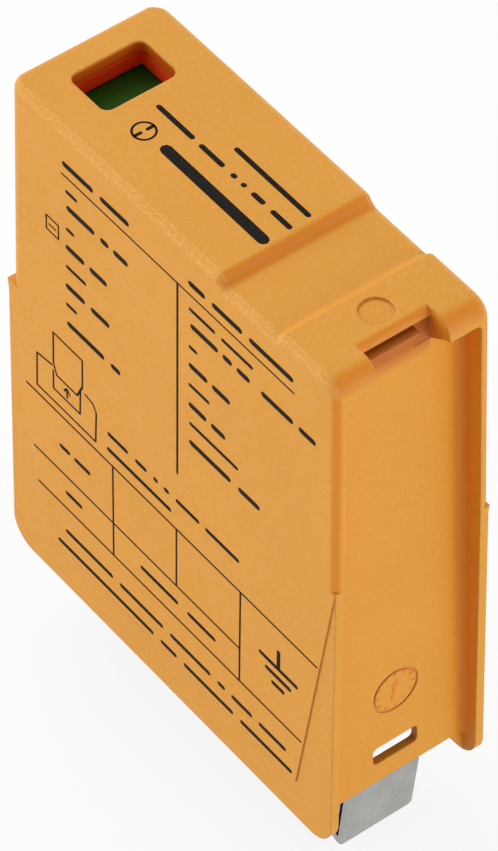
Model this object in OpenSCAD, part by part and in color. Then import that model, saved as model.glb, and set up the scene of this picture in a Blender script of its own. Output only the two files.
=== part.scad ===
// Plug-in surge arrester module for a DIN rail base.
// A thin moulded hood covers a carrier with a disc-shaped gas discharge tube, two contact blades
// and a sprung slider, whose green flag shows under the window until the module has tripped.
// X runs along the length (window end at -X, latch end at +X), Y through the thickness, Z up.
// Z = 0 is the lowest point of the folded contact blades.

/* [Hood outside] */
// Height of the hood from its skirt to the plateau
hood_height = 58.2; // [57:0.1:60]
// Length of the hood at its top
top_length = 45; // [44.5:0.1:47]
// Thickness of the hood at its top
top_thickness = 16; // [15.8:0.1:17]
// Lean of the two large faces, in degrees
face_draft = 0.69; // [0.4:0.01:0.8]
// Lean of the upper ends, in degrees
end_draft = 1.39; // [1.1:0.01:1.5]
// Lean of the ends below the shoulder, in degrees
skirt_draft = 0.46; // [0.2:0.01:0.6]
// Height of the shoulder where the marking panel starts to narrow
shoulder_height = 33.6; // [31:0.1:36]
// How far the marking panel stands proud of the skirt
panel_raise = 0.14; // [0.1:0.01:0.2]
// Distance of the marking panel's lower corners from the hood's ends
panel_inset = 4.83; // [3.4:0.01:6.3]
// Height of the marking panel's lower edge
panel_foot_height = 4.8; // [4:0.1:6]
// Radius of the skirt's lower corners
skirt_radius = 2.8; // [2:0.1:3.2]
// Radius along the edges of the faces above the shoulder
edge_radius = 0.82; // [0.6:0.02:0.9]

/* [Hood top] */
// Radius of the top corner at the window end
window_end_radius = 0.95; // [0.9:0.05:1.4]
// Radius of the two upright corners at the window end
window_corner_radius = 1.9; // [1.5:0.1:2.1]
// Distance of the plateau's edge from the latch end
riser_inset = 16.15; // [15.5:0.05:16.7]
// Depth of the valley below the plateau
valley_depth = 0.92; // [0.8:0.02:1]
// Slope of the riser, in degrees
riser_slope = 50; // [45:1:55]
// Radius of the riser's two bends
riser_radius = 0.95; // [0.9:0.05:1]
// Distance of the valley's far edge from the latch end
ridge_inset = 8.2; // [7.7:0.1:9]
// Length of the rise
ridge_run = 0.75; // [0.6:0.05:1]
// Radius at the foot of the rise
ridge_radius = 0.6; // [0.4:0.05:0.7]
// Depth of the land below the plateau
land_depth = 0.2; // [0.1:0.02:0.3]
// Radius of the top corner at the latch end
latch_end_radius = 1.9; // [1.6:0.1:2.4]
// Diameter of the ejector mark on the land
ejector_diameter = 3.1; // [2.6:0.1:3.4]
// Depth of the ejector mark
ejector_depth = 0.2; // [0.1:0.02:0.3]

/* [Hood walls] */
// Thickness of the side walls and flanges
wall = 1; // [0.9:0.02:1.1]
// Thickness of the end walls between the flanges
end_wall = 0.8; // [0.7:0.02:0.9]
// Thickness of the roof
roof = 1.3; // [1.1:0.05:1.4]

/* [Guide channels] */
// Depth of the channel between the flanges, at the top
channel_depth = 2.5; // [2.3:0.05:2.7]
// Lean of the channel's floor, in degrees
channel_draft = 1.69; // [1.5:0.01:1.8]
// Depth of the channel's ceiling below the plateau at the latch end
channel_fall = 2.2; // [2:0.1:2.6]
// Fall of that ceiling from its front edge to the channel's floor
ceiling_fall = 1.4; // [1:0.1:1.8]
// Depth of the channel's ceiling below the plateau at the window end
rear_channel_fall = 16.2; // [15.2:0.1:20]
// Radius of the keyed top corner
key_radius = 3; // [2:0.1:3.2]
// Radius of the plain top corner
plain_radius = 0.6; // [0.4:0.1:1]
// Fillet along the foot of each flange
flange_fillet = 0.6; // [0.6:0.05:1.1]
// Height of the end wall's lower edge
end_wall_foot = 2.9; // [2.5:0.1:3.2]
// Width of the slanted gusset beside that edge
gusset = 1.5; // [1:0.1:2]

/* [Latch and slot] */
// Width of the latch notch
notch_width = 7.4; // [6.6:0.1:7.8]
// Depth of the slit's upper edge below the plateau
slit_fall = 1; // [0.95:0.05:1.2]
// Height of the slit
slit_height = 0.45; // [0.35:0.05:0.5]
// Depth of the slit
slit_depth = 2.5; // [2:0.1:3]
// How far the latch nose stands out below the slit
nose_reach = 0.6; // [0.4:0.05:0.7]
// Gap between the latch nose and the far side of the notch
nose_gap = 1.6; // [1:0.1:2]
// Depth of the pocket in that gap
pocket_depth = 0.5; // [0.3:0.05:0.55]
// Height of the latch nose's slope
nose_slope_height = 2.1; // [1.6:0.1:2.4]
// Radius along the notch's rear edge
notch_radius = 0.8; // [0.5:0.05:0.85]
// Length of the through slot near the foot of each end wall
slot_length = 4.9; // [4:0.1:5.4]
// Height of that slot
slot_height = 2.1; // [1.7:0.1:2.2]
// Radius of that slot's corners
slot_radius = 0.5; // [0.3:0.05:0.8]
// Height of that slot's middle
slot_level = 6.3; // [6:0.1:6.8]
// Diameter of the moulded date ring
date_diameter = 5; // [4:0.1:5.6]
// Height of the date ring's middle
date_level = 13.7; // [12:0.1:20]
// Width of the date ring's groove
date_groove = 0.3; // [0.2:0.05:0.4]
// Depth of the date ring's groove
date_depth = 0.12; // [0.08:0.01:0.16]

/* [Status window] */
// Distance of the window's middle from the window end
window_inset = 5.85; // [5.7:0.05:6.1]
// Length of the window along the hood
window_length = 5.4; // [5:0.1:5.5]
// Width of the window across the hood
window_width = 7.8; // [7:0.1:7.9]
// Radius of the window's corners
window_radius = 0.9; // [0.6:0.1:1.2]
// Radius of the red frame's inner corners
frame_radius = 0.2; // [0.1:0.05:0.4]
// Depth of the red frame's underside below the plateau
frame_depth = 2.95; // [2.6:0.05:3.1]
// Width of the red frame round the window
frame_width = 0.8; // [0.6:0.05:0.9]
// Thickness of the red tray's end wall
tray_wall = 0.5; // [0.4:0.05:0.6]
// Thickness of the red tray's floor
tray_floor = 0.6; // [0.5:0.05:0.7]

/* [Status slider] */
// Thickness of the flag
flag_thickness = 0.8; // [0.6:0.05:0.9]
// Overlap of the flag past the window
flag_overlap = 0.6; // [0.5:0.05:0.7]
// Length of the slider's leg along the travel
leg_length = 5; // [4:0.1:5.4]
// Thickness of the leg
leg_thickness = 1.3; // [1.1:0.05:1.35]
// Gap between sliding pieces and what they pass
slide_gap = 0.3; // [0.25:0.05:0.35]
// How far the slider travels when it trips
trip_travel = 6.2; // [6.2:0.05:6.6]
// Diameter of the solder pad
solder_diameter = 3; // [2.4:0.1:3.4]
// Wire of the trip spring
spring_wire = 0.36; // [0.3:0.02:0.4]
// Outside diameter of the trip spring
spring_diameter = 1.9; // [1.6:0.05:2]
// Turns of the trip spring
spring_turns = 6; // [5:1:7]
// Height of the trip spring's middle above the deck
spring_rise = 3.2; // [2.6:0.1:3.8]
// Distance of the spring bracket's face inside the flag's end
bracket_inset = 0.55; // [0.5:0.05:0.7]
// Depth of the solder's seat in the leg
solder_seat = 0.4; // [0.3:0.05:0.5]
// Gap left between the solder and the strap
solder_gap = 0.15; // [0.1:0.05:0.2]

/* [Gas discharge tube] */
// Gap between the ceramic ring and the carrier's posts
tube_gap = 1.5; // [1.3:0.1:2.2]
// Wall of the ceramic ring
ring_wall = 4; // [3.5:0.1:5]
// Width of the ceramic ring
ring_width = 5; // [4.6:0.1:5.2]
// Step from the ring's edge to the end caps
cap_step = 1.5; // [1.2:0.1:2.5]
// Thickness of the end caps
cap_thickness = 1.3; // [1:0.05:1.4]
// Height of the raised contact boss on each cap
boss_height = 0.4; // [0.3:0.05:0.5]
// Diameter of that boss
boss_diameter = 11; // [9:0.5:12]
// Height of the tube's middle
tube_level = 24; // [23:0.5:25]

/* [Conductors] */
// Thickness of the straps
strap_thickness = 0.7; // [0.6:0.05:0.75]
// Width of the straps on the tube
strap_width = 7; // [6:0.1:8]
// Thickness of the blade's sheet
blade_sheet = 0.8; // [0.7:0.02:0.85]
// Gap inside the blade's fold
blade_gap = 0.35; // [0.25:0.05:0.4]
// Width of the blades
blade_width = 7.7; // [7:0.1:8]
// How far the blades stand below the skirt
blade_reach = 7.3; // [6.5:0.1:8]
// Lean of the folded part, in degrees
blade_lean = 7; // [5:0.5:8]
// Height of the outer leaf's upper edge
outer_leaf_top = 3.3; // [2.8:0.1:3.4]
// Distance of the outer leaf's face from the end wall at the skirt's level
blade_inset = 1.52; // [1.47:0.01:1.62]
// Distance of the neck behind that face
neck_inset = 2; // [1.95:0.01:2.05]
// Height of the inner leaf's upper edge
inner_leaf_top = 1; // [0.6:0.1:1.4]
// Chamfer on the blade's lower corner
blade_chamfer = 0.9; // [0.6:0.1:1.2]
// Width of the neck that leads up to the strap
neck_width = 2.45; // [2.2:0.05:2.5]
// Height of the straps' tab on the neck
strap_tab = 5; // [4.6:0.1:5.2]
// Length of the straps' upright leg
strap_leg = 4.8; // [4.4:0.1:5]
// Setback of the straps above the tab
strap_setback = 1.3; // [1:0.1:1.6]
// Diameter of the rivet shanks
rivet_diameter = 1.2; // [1:0.05:1.3]
// Diameter of the rivet heads
rivet_head = 2; // [1.8:0.05:2.1]
// Thickness of the rivet heads
rivet_head_height = 0.5; // [0.4:0.05:0.6]

/* [Carrier] */
// Height of the carrier floor's underside
floor_level = 1; // [0.6:0.1:1.2]
// Thickness of the carrier floor
floor_thickness = 1.6; // [1.4:0.1:1.8]
// Length of the open bay between the carrier's floor and the neck
bay_length = 3; // [2.8:0.1:3.2]
// Height of the arms that carry the straps above the floor
arm_height = 1.4; // [1.2:0.1:1.6]
// Half width of the end posts
post_half = 3.2; // [2.8:0.1:3.4]
// Thickness of the guide rib
guide_rib = 0.9; // [0.8:0.05:1]
// Length of the guide rib past the tripped slider
guide_rest = 1; // [0.6:0.1:1.4]
// Gap between fixed inner pieces
seat_gap = 0.1; // [0.05:0.05:0.15]
// Thickness of the carrier's walls
rib = 1.2; // [1:0.05:1.3]
// Depth of the deck under the slider below the plateau
deck_fall = 14.2; // [13.7:0.1:14.6]
// Thickness of the insulating plates
plate_thickness = 0.4; // [0.3:0.05:0.45]
// Distance of the insulating plates' upper edge below the deck
plate_drop = 4; // [2:0.5:8]
// Distance of the insulating plates from the posts
plate_inset = 0.5; // [0.3:0.1:0.8]

/* [Hidden] */
far = 40;
overlap = 0.01;
deep = 60;
$fn = 48;

valley_level = hood_height - valley_depth;
land_level = hood_height - land_depth;
channel_top = hood_height - channel_fall;
rear_channel_top = hood_height - rear_channel_fall;
slit_top = hood_height - slit_fall;
slit_low = slit_top - slit_height;
riser_start = top_length / 2 - riser_inset;
ridge_start = top_length / 2 - ridge_inset;
window_middle = window_inset - top_length / 2;
flag_top = hood_height - frame_depth - slide_gap;
flag_low = flag_top - flag_thickness;
flag_left = window_middle - window_length / 2 - flag_overlap;
leg_left = window_middle + window_length / 2 + flag_overlap;
leg_right = leg_left + leg_length;
cap_face = ring_width / 2 + cap_thickness;
boss_face = cap_face + boss_height;
strap_face = boss_face + strap_thickness;
plate_face = strap_face + plate_thickness;
leg_near = plate_face;
leg_far = leg_near + leg_thickness;
floor_top = floor_level + floor_thickness;
deck_level = hood_height - deck_fall;
deck_top = deck_level + rib;
plate_top = deck_level - plate_drop;
tray_low = flag_low - 2 * slide_gap - tray_floor;
tray_left = flag_left - slide_gap;
rib_far = strap_face;
rib_near = rib_far - guide_rib;
tray_far = rib_near - seat_gap;
tray_near = -tray_far - slide_gap;
bracket_face = flag_left + bracket_inset;
guide_end = leg_right + trip_travel + guide_rest;
spring_middle = (leg_near + leg_far) / 2;
spring_length = leg_left - bracket_face;
spring_level = deck_top + spring_rise;
neck_near = -blade_width / 2;
strap_foot = floor_top + arm_height;
neck_top = strap_foot + strap_tab;
tab_far = neck_near + neck_width;

function face_y(z) = top_thickness / 2 + tan(face_draft) * (hood_height - z);
function upper_x(z) = top_length / 2 + tan(end_draft) * (hood_height - z);
function end_x(z) = z > shoulder_height ? upper_x(z)
    : upper_x(shoulder_height) + tan(skirt_draft) * (shoulder_height - z);
function channel_x(z) = top_length / 2 - channel_depth + tan(channel_draft) * (hood_height - z);
function inner_y(z) = face_y(z) - wall;

blade_face = channel_x(0) - blade_inset;
neck_inner = blade_face - neck_inset;
floor_half = neck_inner - bay_length;
tube_diameter = 2 * (floor_half - rib - tube_gap);
tube_bore = tube_diameter - 2 * ring_wall;
cap_diameter = tube_diameter - 2 * cap_step;
panel_foot = end_x(panel_foot_height) - panel_inset;

function arc(c, r, a, b, n) = [for (i = [0 : n]) let (t = a + (b - a) * i / n) c + r * [cos(t), sin(t)]];

// The riser is two bends of one radius with a straight slope between them.
riser_bend_run = riser_radius * sin(riser_slope);
riser_bend_fall = riser_radius * (1 - cos(riser_slope));
riser_end = riser_start + 2 * riser_bend_run + (valley_depth - 2 * riser_bend_fall) / tan(riser_slope);

// Slope of the rise to the land, and the middle of the bend at its foot.
ridge_slope = atan2(valley_depth - land_depth, ridge_run);
ridge_bend = [ridge_start - ridge_radius * tan(ridge_slope / 2), valley_level + ridge_radius];

// How far the cutters of the top edges run past each other, so that they close in the hollow bends.
edge_overlap = 0.1;

// Lean of the upright edges within the drafted faces.
edge_lean = atan(tan(end_draft) * cos(face_draft));

// Middles of the two round top corners, in X and height. The leaning ends touch their circles.
left_corner = [window_end_radius / cos(edge_lean) - end_x(hood_height - window_end_radius),
    hood_height - window_end_radius];
right_corner = [end_x(land_level - latch_end_radius) - latch_end_radius / cos(edge_lean),
    land_level - latch_end_radius];

module lift() {
    translate([0, 0, blade_reach])
        children();
}

// Turns a shape drawn in X and height into a prism across the thickness.
module across(half) {
    rotate([90, 0, 0])
        linear_extrude(2 * half, center = true)
            children();
}

// Turns a shape drawn in Y and height into a prism along the length, from one X to another.
module lengthwise(from, to) {
    translate([from, 0, 0])
        rotate([90, 0, 90])
            linear_extrude(to - from)
                children();
}

// Stands a shape drawn in X and Y up along the line from p to q.
module stand_along(p, q) {
    d = q - p;
    turn = atan2(d[1], d[0]);
    translate(p)
        rotate([0, acos(d[2] / norm(d)), turn])
            rotate([0, 0, -turn])
                linear_extrude(norm(d))
                    children();
}

// The waste outside a rounded corner, with the sharp corner at the origin.
module corner_waste(r) {
    difference() {
        translate([-r, -r])
            square(r + 1);
        translate([-r, -r])
            circle(r);
    }
}

module round_rect(x, y, r) {
    square([x - 2 * r, y], center = true);
    square([x, y - 2 * r], center = true);
    for (i = [-1, 1], j = [-1, 1])
        translate([i * (x / 2 - r), j * (y / 2 - r)])
            circle(r);
}

module both_faces() {
    children();
    mirror([0, 1, 0])
        children();
}

module hood_outline() {
    polygon(concat(
        arc([-end_x(skirt_radius) + skirt_radius, skirt_radius], skirt_radius, 270, 180, 10),
        [[-end_x(shoulder_height), shoulder_height]],
        arc(left_corner, window_end_radius, 180 - end_draft, 90, 8),
        arc([riser_start, hood_height - riser_radius], riser_radius, 90, 90 - riser_slope, 6),
        arc([riser_end, valley_level + riser_radius], riser_radius, 270 - riser_slope, 270, 6),
        arc(ridge_bend, ridge_radius, 270, 270 + ridge_slope, 4),
        [[ridge_start + ridge_run, land_level]],
        arc(right_corner, latch_end_radius, 90, end_draft, 14),
        [[end_x(shoulder_height), shoulder_height]],
        arc([end_x(skirt_radius) - skirt_radius, skirt_radius], skirt_radius, 0, -90, 10)));
}

module face_wedge(inset) {
    polygon([[-face_y(-far) + inset, -far], [-face_y(far * 2) + inset, far * 2],
        [face_y(far * 2) - inset, far * 2], [face_y(-far) - inset, -far]]);
}

// The waste outside the rounded top edge of a face that leans outwards, with the sharp edge at the origin.
module leaning_corner_waste(r) {
    u = -r * (1 - sin(face_draft)) / cos(face_draft);
    difference() {
        polygon([[u, -r], [u, 0.1], [1, 0.1], [1, r * sin(face_draft) - r],
            [u + r * cos(face_draft), r * sin(face_draft) - r]]);
        translate([u, -r])
            circle(r);
    }
}

// A hollow bend as a line of tangents, which never runs above it.
function tangents(c, r, from, turn, n) = let (step = turn / n)
    arc(c, r / cos(step / 2), from + step / 2, from + turn - step / 2, n - 1);

// The path of the top edges from the window end to the latch end. It never runs above the outline.
top_path = concat(
    [[left_corner[0], hood_height]],
    arc([riser_start, hood_height - riser_radius], riser_radius, 90, 90 - riser_slope, 3),
    tangents([riser_end, valley_level + riser_radius], riser_radius, 270 - riser_slope, riser_slope, 4),
    tangents(ridge_bend, ridge_radius, 270, ridge_slope, 3),
    [[ridge_start + ridge_run, land_level], [right_corner[0], land_level]]);

// Rounds the top edge of the -Y face between two points of that path.
module top_edge_cut(p, q) {
    d = q - p;
    translate([p[0], -face_y(p[1]) - overlap, p[1]])
        rotate([0, -atan2(d[1], d[0]), 0])
            translate([-edge_overlap, 0, 0])
                rotate([90, 0, 90])
                    linear_extrude(norm(d) + 2 * edge_overlap)
                        mirror([1, 0])
                            leaning_corner_waste(edge_radius);
}

// Rounds a face along a round top corner and down the upright edge to the shoulder, at +X and -Y.
module end_edge_cut(c, r) {
    drop = (r * sin(edge_lean) + (c[1] - shoulder_height) / cos(face_draft)) / cos(edge_lean);
    translate([c[0], -face_y(c[1]), c[1]])
        rotate([90 - face_draft, 0, 0])
            rotate([0, 0, edge_lean]) {
                rotate_extrude(angle = 90 - edge_lean, $fn = 96)
                    translate([r, 0])
                        corner_waste(edge_radius);
                translate([r, 0, 0])
                    rotate([90, 0, 0])
                        linear_extrude(drop)
                            corner_waste(edge_radius);
            }
}

// Rounds the upright corner at -X and -Y from the top to the shoulder. It turns about the leaning corner.
module window_corner_cut() {
    r = window_corner_radius;
    fall = hood_height - shoulder_height;
    translate([r - overlap - end_x(hood_height), r - overlap - face_y(hood_height), hood_height])
        rotate([-face_draft, end_draft, 0])
            rotate([0, 0, 180])
                rotate_extrude(angle = 90, $fn = 96) {
                    translate([r, overlap])
                        corner_waste(edge_radius);
                    translate([r, -fall])
                        square([wall, fall + wall]);
                }
}

module hood_edge_cuts() {
    both_faces() {
        for (i = [0 : len(top_path) - 2])
            top_edge_cut(top_path[i], top_path[i + 1]);
        end_edge_cut(right_corner, latch_end_radius);
        window_corner_cut();
    }
}

// The skirt and the corner triangles beside the marking panel lie a little lower than the panel.
module skirt_step() {
    both_faces()
        translate([0, -face_y(0), 0])
            rotate([90 - face_draft, 0, 0])
                translate([0, 0, -panel_raise])
                    linear_extrude(wall)
                        difference() {
                            translate([-far, -far])
                                square([2 * far, far + shoulder_height]);
                            polygon([[-panel_foot, panel_foot_height], [panel_foot, panel_foot_height],
                                [end_x(shoulder_height), shoulder_height + overlap],
                                [-end_x(shoulder_height), shoulder_height + overlap]]);
                        }
}

// The space between the two flanges of an end, with a keyed and a plain top corner.
module channel(top, fall, keyed, plain) {
    z = top - fall;
    intersection() {
        across(far)
            polygon([[channel_x(-far), -far], [channel_x(z), z], [end_x(top) - end_wall / 2, top],
                [far, top], [far, -far]]);
        lengthwise(0, far)
            polygon(concat(
                [[-inner_y(-far), -far]],
                arc([-inner_y(top) + keyed, top - keyed], keyed, 180, 90, 8),
                arc([inner_y(top) - plain, top - plain], plain, 90, 0, 4),
                [[inner_y(-far), -far]]));
    }
}

// Fillets along the feet of the two flanges of the +X end.
module flange_fillets(top) {
    both_faces()
        stand_along([channel_x(end_wall_foot), inner_y(end_wall_foot), end_wall_foot],
            [channel_x(top), inner_y(top), top])
            difference() {
                translate([-overlap, -flange_fillet])
                    square([flange_fillet + overlap, flange_fillet + overlap]);
                translate([flange_fillet, -flange_fillet])
                    circle(flange_fillet);
            }
}

// Opens the end wall below its foot and leaves a slanted gusset beside each flange.
module end_wall_opening() {
    y = inner_y(0);
    lengthwise(floor_half + slide_gap, far)
        polygon([[-y, -far], [-y, 0.2], [-y + gusset, end_wall_foot], [y - gusset, end_wall_foot],
            [y, 0.2], [y, -far]]);
}

// Draws its children in the +X end wall's plane, with their own Z pointing out of the wall.
module on_end_wall(z) {
    translate([channel_x(z), 0, z])
        rotate([0, -channel_draft, 0])
            rotate([90, 0, 90])
                children();
}

module end_slot() {
    on_end_wall(slot_level)
        linear_extrude(2 * channel_depth, center = true)
            round_rect(slot_length, slot_height, slot_radius);
}

module date_ring() {
    on_end_wall(date_level)
        translate([0, 0, -date_depth])
            linear_extrude(channel_depth)
                difference() {
                    circle(date_diameter / 2);
                    circle(date_diameter / 2 - date_groove);
                }
}

module cavity_outline() {
    inner_top = hood_height - roof;
    step = rear_channel_top + end_wall;
    polygon([
        [-channel_x(-far) + end_wall, -far],
        [-channel_x(step) + end_wall, step],
        [-end_x(step) + wall, step],
        [-end_x(inner_top) + wall, inner_top],
        [riser_start - roof, inner_top],
        [riser_start - roof, valley_level - roof],
        [channel_x(valley_level - roof) - end_wall, valley_level - roof],
        [channel_x(-far) - end_wall, -far]]);
}

module cavity() {
    intersection() {
        across(far)
            cavity_outline();
        lengthwise(-far, far)
            face_wedge(wall);
    }
}

// The notch in the land, open to the channel below it, with the latch slit and a round rear edge.
module notch() {
    half = notch_width / 2;
    low = channel_top - ceiling_fall - 1;
    high = hood_height + 2;
    across(half)
        polygon([[channel_x(low), low], [far, low], [far, high], [channel_x(high), high]]);
    translate([channel_x(land_level), 0, land_level])
        across(half)
            corner_waste(notch_radius);
    translate([channel_x(land_level) - slit_depth, -half + seat_gap, slit_low])
        cube([far, notch_width - 2 * seat_gap, slit_height]);
    x = channel_x(slit_low);
    translate([0, half - seat_gap - nose_gap / 2, 0])
        across(nose_gap / 2)
            polygon([[x - pocket_depth, slit_low + slit_height / 2], [far, slit_low + slit_height / 2],
                [far, slit_low - nose_slope_height], [x, slit_low - nose_slope_height]]);
}

// The slope below the slit that a base's hook rides over before it snaps in.
module latch_nose() {
    x = channel_x(slit_low);
    translate([0, -nose_gap / 2, 0])
        across((notch_width - nose_gap) / 2 + overlap)
            polygon([[x - end_wall, slit_low - nose_slope_height], [x, slit_low - nose_slope_height],
                [x + nose_reach, slit_low], [x - end_wall, slit_low]]);
}

module window_hole(r) {
    translate([window_middle, 0, hood_height - frame_depth - 1])
        linear_extrude(frame_depth + 2)
            round_rect(window_length, window_width, r);
}

module housing_hood() {
    color("orange")
        lift()
            difference() {
                union() {
                    difference() {
                        intersection() {
                            across(far)
                                hood_outline();
                            lengthwise(-far, far)
                                face_wedge(0);
                        }
                        hood_edge_cuts();
                        skirt_step();
                        channel(channel_top, ceiling_fall, key_radius, plain_radius);
                        rotate([0, 0, 180])
                            channel(rear_channel_top, 0, key_radius, plain_radius);
                        cavity();
                        notch();
                    }
                    flange_fillets(channel_top - ceiling_fall);
                    rotate([0, 0, 180])
                        flange_fillets(rear_channel_top);
                    latch_nose();
                }
                window_hole(window_radius);
                translate([(ridge_start + ridge_run + channel_x(land_level)) / 2, 0, land_level - ejector_depth])
                    cylinder(d = ejector_diameter, h = 1);
                for (turn = [0, 180])
                    rotate([0, 0, turn]) {
                        end_wall_opening();
                        end_slot();
                    }
                date_ring();
            }
}

module tube_axis(y) {
    translate([0, y, tube_level])
        rotate([-90, 0, 0])
            children();
}

// Floor, cradle, end posts, deck, guide rib and spring bracket are one moulding.
module inner_carrier() {
    cradle = tube_diameter * 0.44;
    color("gainsboro")
        lift() {
            intersection() {
                cavity();
                translate([-floor_half, -far, floor_level])
                    cube([2 * floor_half, 2 * far, floor_thickness]);
            }
            difference() {
                translate([-cradle, -ring_width / 2, floor_top - overlap])
                    cube([2 * cradle, ring_width, tube_level * 0.74 - floor_top]);
                tube_axis(-far)
                    cylinder(d = tube_diameter, h = 2 * far, $fn = 96);
            }
            for (turn = [0, 180])
                rotate([0, 0, turn]) {
                    translate([floor_half - rib, -post_half, floor_top - overlap])
                        cube([rib, 2 * post_half, deck_top - floor_top + overlap]);
                    translate([floor_half - rib, -strap_face - rib, floor_level])
                        cube([bay_length + rib, rib + strap_thickness + seat_gap, strap_foot - floor_level]);
                }
            translate([bracket_face - rib, tray_near, deck_level])
                cube([floor_half - bracket_face + rib, rib_far - tray_near, rib]);
            translate([bracket_face - rib, rib_near, deck_top - overlap])
                cube([guide_end - bracket_face + rib, rib_far - rib_near, flag_low - slide_gap - deck_top]);
            translate([bracket_face - rib, rib_near, deck_level])
                cube([rib, leg_far - rib_near, spring_level + spring_diameter - deck_level]);
            translate([tray_left, tray_near, deck_top - overlap])
                cube([leg_left - flag_left, rib, tray_low - deck_top + overlap]);
            translate([tray_left, tray_near, deck_top - overlap])
                cube([rib, tray_far - tray_near, tray_low - deck_top + overlap]);
        }
}

// A floor under the flag and a frame above it round the window, joined by an end wall.
module red_tray() {
    frame_end = window_middle + window_length / 2 + frame_width;
    frame_half = window_width / 2 + frame_width;
    color("red")
        lift()
            translate([tray_left - tray_wall, 0, 0])
                difference() {
                    union() {
                        translate([0, tray_near, tray_low])
                            cube([leg_left - flag_left + tray_wall, tray_far - tray_near, tray_floor]);
                        translate([0, tray_near, tray_low])
                            cube([tray_wall, tray_far - tray_near, hood_height - roof - tray_low]);
                        translate([0, -frame_half, hood_height - frame_depth])
                            cube([frame_end - tray_left + tray_wall, 2 * frame_half, frame_depth - roof]);
                    }
                    translate([tray_wall - tray_left, 0, 0])
                        window_hole(frame_radius);
                }
}

module insulating_plate(from) {
    translate([from, -plate_face, floor_top])
        cube([floor_half - rib - plate_inset - from, plate_thickness, plate_top - floor_top]);
}

module insulating_plate_near() {
    color("beige")
        lift()
            insulating_plate(rib + plate_inset - floor_half);
}

module insulating_plate_far() {
    color("beige")
        lift()
            mirror([0, 1, 0])
                insulating_plate(guide_end);
}

module tube_ring() {
    color("white")
        lift()
            tube_axis(-ring_width / 2)
                difference() {
                    cylinder(d = tube_diameter, h = ring_width, $fn = 96);
                    translate([0, 0, -1])
                        cylinder(d = tube_bore, h = ring_width + 2, $fn = 96);
                }
}

module tube_cap() {
    tube_axis(ring_width / 2) {
        cylinder(d = cap_diameter, h = cap_thickness, $fn = 96);
        cylinder(d = boss_diameter, h = cap_thickness + boss_height, $fn = 96);
    }
}

module tube_cap_near() {
    color("peru")
        lift()
            mirror([0, 1, 0])
                tube_cap();
}

module tube_cap_far() {
    color("peru")
        lift()
            tube_cap();
}

module rivet_places() {
    for (z = [0.28, 0.72])
        translate([neck_inner, (neck_near + tab_far) / 2, strap_foot + z * strap_tab])
            rotate([0, 90, 0])
                children();
}

// A flat strip lies on the cap's boss, turns down, and is bent across onto the blade's neck.
module strap() {
    difference() {
        union() {
            translate([0, -boss_face, 0])
                rotate([90, 0, 0])
                    linear_extrude(strap_thickness)
                        polygon([[-boss_diameter / 2, tube_level - strap_width / 2],
                            [neck_inner - strap_leg, tube_level - strap_width / 2],
                            [neck_inner - strap_leg, strap_foot], [neck_inner, strap_foot],
                            [neck_inner, neck_top], [neck_inner - strap_setback, neck_top],
                            [neck_inner - strap_setback, tube_level + strap_width / 2],
                            [-boss_diameter / 2, tube_level + strap_width / 2]]);
            translate([neck_inner - strap_thickness, -strap_face, strap_foot])
                cube([strap_thickness, strap_face + tab_far, strap_tab]);
        }
        rivet_places()
            cylinder(d = rivet_diameter, h = neck_width, center = true);
    }
}

module strap_near() {
    color("goldenrod")
        lift()
            strap();
}

module strap_far() {
    color("goldenrod")
        lift()
            rotate([0, 0, 180])
                strap();
}

// One strip folded back on itself at the foot, with a narrow neck up to the strap.
module blade() {
    fold = blade_sheet + blade_gap / 2;
    foot = fold - blade_reach;
    outer_length = outer_leaf_top / cos(blade_lean) - foot;
    inner_length = inner_leaf_top - foot;
    difference() {
        union() {
            translate([blade_face - fold + foot * tan(blade_lean), 0, foot])
                rotate([0, blade_lean, 0]) {
                    translate([blade_gap / 2, -blade_width / 2, 0])
                        cube([blade_sheet, blade_width, outer_length]);
                    translate([-fold, -blade_width / 2, 0])
                        cube([blade_sheet, blade_width, inner_length]);
                    rotate([90, 0, 0])
                        difference() {
                            cylinder(r = fold, h = blade_width, center = true);
                            cylinder(r = blade_gap / 2, h = 2 * blade_width, center = true);
                            translate([-far, 0, -far])
                                cube(2 * far);
                        }
                }
            translate([neck_inner, neck_near, 0])
                cube([blade_sheet, neck_width, neck_top]);
        }
        translate([0, blade_width / 2, -blade_reach])
            rotate([45, 0, 0])
                cube([deep, blade_chamfer * sqrt(2), blade_chamfer * sqrt(2)], center = true);
        rivet_places()
            cylinder(d = rivet_diameter, h = neck_width, center = true);
    }
}

module blade_latch_end() {
    color("silver")
        lift()
            blade();
}

module blade_window_end() {
    color("silver")
        lift()
            rotate([0, 0, 180])
                blade();
}

module blade_rivets() {
    color("silver")
        lift()
            for (turn = [0, 180])
                rotate([0, 0, turn])
                    rivet_places() {
                        translate([0, 0, -strap_thickness])
                            cylinder(d = rivet_diameter, h = strap_thickness + blade_sheet);
                        translate([0, 0, -strap_thickness - rivet_head_height])
                            cylinder(d = rivet_head, h = rivet_head_height);
                        translate([0, 0, blade_sheet])
                            cylinder(d = rivet_head, h = rivet_head_height);
                    }
}

// The green flag under the window and the leg that the solder holds are one moulding.
module trip_slider() {
    half = window_width / 2 + flag_overlap;
    foot = tube_level - strap_width / 2;
    color("green")
        lift()
            difference() {
                union() {
                    translate([flag_left, -half, flag_low])
                        cube([leg_right - flag_left, 2 * half, flag_thickness]);
                    translate([leg_left, 0, flag_low])
                        cube([leg_length, leg_far, flag_thickness]);
                    translate([leg_left, leg_near, foot])
                        cube([leg_length, leg_thickness, flag_top - foot]);
                }
                solder_place()
                    cylinder(d = solder_diameter, h = far);
            }
}

module solder_place() {
    translate([(leg_left + leg_right) / 2, leg_near + solder_seat, tube_level])
        rotate([90, 0, 0])
            children();
}

module solder_pad() {
    color("lightgray")
        lift()
            solder_place()
                cylinder(d = solder_diameter, h = solder_seat + plate_thickness - solder_gap);
}

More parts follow.
